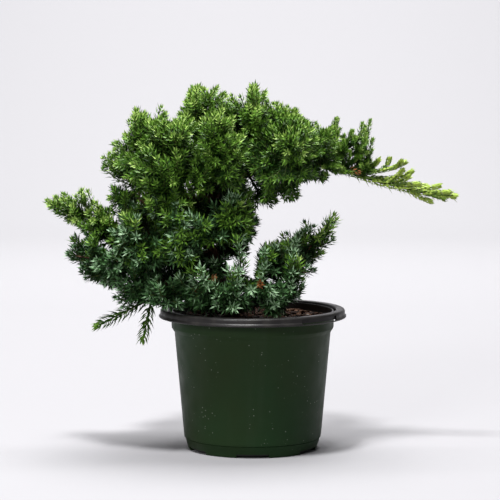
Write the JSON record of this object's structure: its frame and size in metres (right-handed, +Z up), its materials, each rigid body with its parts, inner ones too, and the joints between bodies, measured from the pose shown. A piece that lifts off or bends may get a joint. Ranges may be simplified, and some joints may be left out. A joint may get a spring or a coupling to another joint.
{
  "type": "juniper bonsai",
  "caption": "Young spreading juniper grown as a bonsai, a dense leaning crown with one long arching side branch, rooted in a round tapered nursery pot.",
  "frame": {"origin": "centre of the pot's flat underside", "axes": "+Z up; +X towards the long arching side branch; -Y the front that the picture shows"},
  "size_m": [0.3339, 0.1555, 0.3001],
  "materials": {
    "pot_plastic": "moulded polypropylene, dark green, semi-matt, with a black lip and inside",
    "soil": "moist potting mix of peat and fine bark",
    "bark": "thin reddish-brown bark that peels in strips",
    "foliage": "short sharp evergreen needles, blue-green with bright green tips"
  },
  "bodies": {
    "root": {"arm_left": "foliage", "back_high": "foliage", "back_inner_high": "foliage", "back_inner_low": "foliage", "back_left": "foliage", "back_low": "foliage", "bough_arch": "bark", "bough_back_left": "bark", "bough_back_low": "bark", "bough_back_right": "bark", "bough_front_left": "bark", "bough_front_right": "bark", "bough_high_left": "bark", "bough_low_left": "bark", "bough_low_right": "bark", "bough_mid_left": "bark", "bough_reach": "bark", "bough_rim_left": "bark", "bough_top": "bark", "column_high_left": "foliage", "column_high_right": "foliage", "column_low_left": "foliage", "column_low_right": "foliage", "column_mid_left": "foliage", "column_mid_right": "foliage", "crown_back_left": "foliage", "crown_back_mid": "foliage", "crown_back_right": "foliage", "crown_front_left": "foliage", "crown_front_mid": "foliage", "crown_front_right": "foliage", "crown_left": "foliage", "crown_right": "foliage", "crown_top": "foliage", "crown_top_left": "foliage", "foot_back_left": "foliage", "foot_front_left": "foliage", "foot_left": "foliage", "front_left": "foliage", "hang_mid": "foliage", "hang_right": "foliage", "low_left": "foliage", "low_right": "foliage", "low_right_front": "foliage", "low_right_mid": "foliage", "mid_left": "foliage", "pot": "pot_plastic", "shoulder_left": "foliage", "shoulder_right": "foliage", "soil": "soil", "sprig_hanging": "foliage", "sprig_left": "foliage", "tip_right": "foliage", "trunk": "bark", "under_reach": "foliage"}
  },
  "joints": []
}
